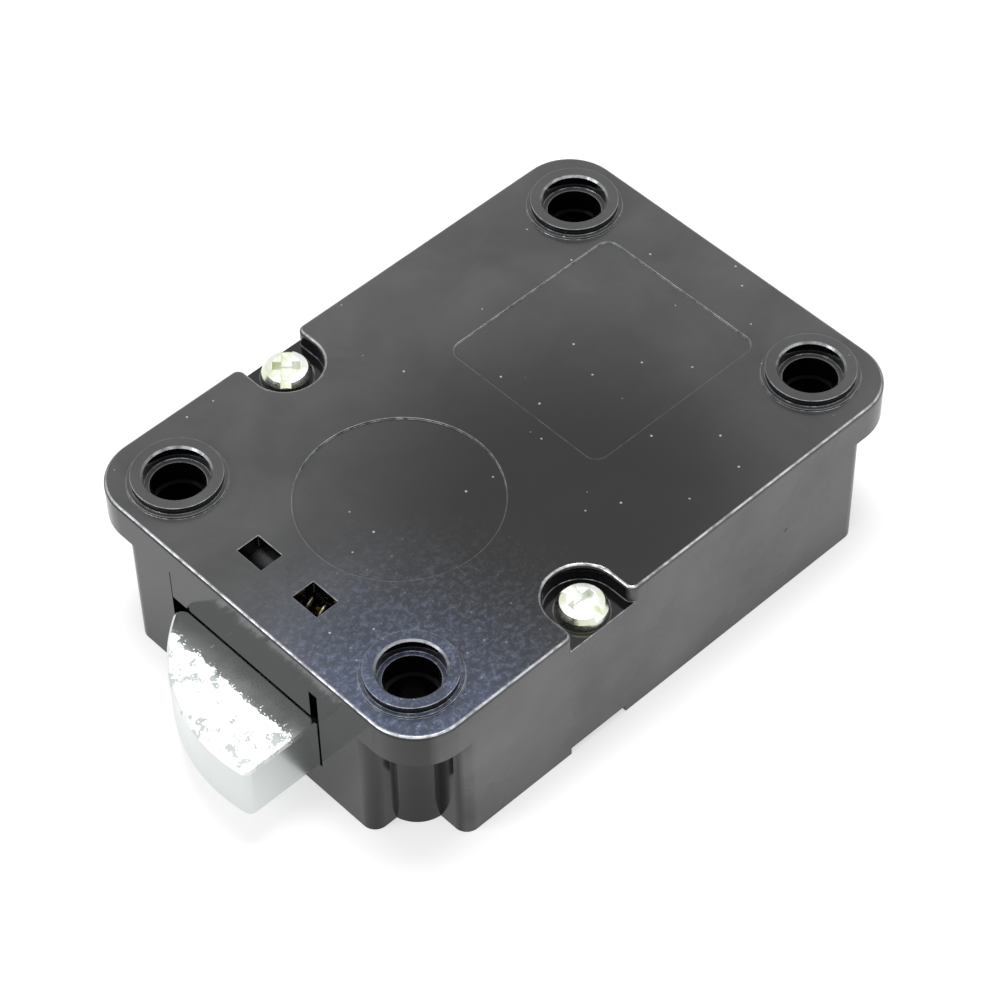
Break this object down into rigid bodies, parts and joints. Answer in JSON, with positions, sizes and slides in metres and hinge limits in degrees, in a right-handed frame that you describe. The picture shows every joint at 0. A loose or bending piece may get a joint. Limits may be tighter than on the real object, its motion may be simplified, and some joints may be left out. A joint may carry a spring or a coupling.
{
  "type": "electronic safe lock",
  "caption": "Black cast safe lock with a bright swing bolt at one end, four ringed mounting holes and a motor driven blocking slide inside.",
  "frame": {"origin": "centre of the four mounting holes, on the mounting face", "axes": "+X along the case away from the bolt end, +Y across it, +Z out of the mounting face through the cover"},
  "size_m": [0.0941, 0.059, 0.0238],
  "materials": {
    "black_casting": "gloss black lacquer on a zinc die casting, lightly dusty and worn",
    "bolt_zinc": "nickel-bright plated zinc casting, tumbled",
    "screw_zinc": "bright zinc plated steel",
    "magnet_nickel": "nickel plated",
    "spring_steel": "drawn spring wire",
    "slide_steel": "sintered steel",
    "spring_brass": "drawn brass wire",
    "terminal_brass": "tinned brass",
    "collar_brass": "turned brass",
    "motor_steel": "ground steel shaft",
    "motor_black_steel": "blackened drawn steel can",
    "magnet_ferrite": "pressed and fired ferrite",
    "armature_steel": "stacked steel core wound with enamelled copper wire",
    "black_nylon": "moulded nylon",
    "white_nylon": "moulded nylon",
    "board_glass_epoxy": "green solder mask",
    "chip_epoxy": "moulded epoxy",
    "crystal_can": "drawn steel can",
    "capacitor_sleeve": "shrunk sleeve",
    "lead_red_pvc": "insulated wire",
    "lead_black_pvc": "insulated wire",
    "resistor_ceramic": "printed ceramic chip"
  },
  "bodies": {
    "case": {"board_screws": "screw_zinc", "bolt_pivot_screw": "screw_zinc", "bolt_return_spring": "spring_steel", "circuit_board": "board_glass_epoxy", "cover": "black_casting", "cover_screws": "screw_zinc", "cradle_screws": "screw_zinc", "hall_sensor": "chip_epoxy", "housing": "black_casting", "keypad_socket": "white_nylon", "keypad_socket_pins": "terminal_brass", "memory_chip": "chip_epoxy", "microcontroller": "chip_epoxy", "motor_can": "motor_black_steel", "motor_cradle": "black_nylon", "motor_driver_chip": "chip_epoxy", "motor_end_cap": "white_nylon", "motor_lead_black": "lead_black_pvc", "motor_lead_red": "lead_red_pvc", "motor_magnet": "magnet_ferrite", "motor_socket": "white_nylon", "motor_terminals": "terminal_brass", "reservoir_capacitor": "capacitor_sleeve", "resistor_1": "resistor_ceramic", "resistor_2": "resistor_ceramic", "resistor_3": "resistor_ceramic", "resistor_4": "resistor_ceramic", "supply_diode": "chip_epoxy", "timing_crystal": "crystal_can", "voltage_regulator": "chip_epoxy"},
    "bolt": {"swing_bolt": "bolt_zinc", "bolt_magnet": "magnet_nickel"},
    "rotor": {"motor_shaft": "motor_steel", "drive_collar": "collar_brass", "motor_armature": "armature_steel"},
    "blocker": {"blocking_slide": "slide_steel", "drive_spring": "spring_brass"}
  },
  "joints": [
    {"name": "bolt_swing", "type": "hinge", "parent": "case", "child": "bolt", "pos_m": [-0.0299, -0.0075, 0.0101], "axis": [0, 0, 1], "range_deg": [-72, 0], "stiffness_Nm_per_rad": 0.02, "springref_deg": 34.38, "deforming": ["bolt_return_spring"]},
    {"name": "motor_spin", "type": "hinge", "parent": "case", "child": "rotor", "pos_m": [-0.032, 0.0043, 0.0174], "axis": [0, 1, 0], "range_deg": [0, 720]},
    {"name": "blocker_slide", "type": "slide", "parent": "case", "child": "blocker", "axis": [0, -1, 0], "range_m": [0, 0.0042]}
  ],
  "couplings": [
    {"joint": "motor_spin", "follows": "blocker_slide", "rad_per_m": 2992}
  ]
}
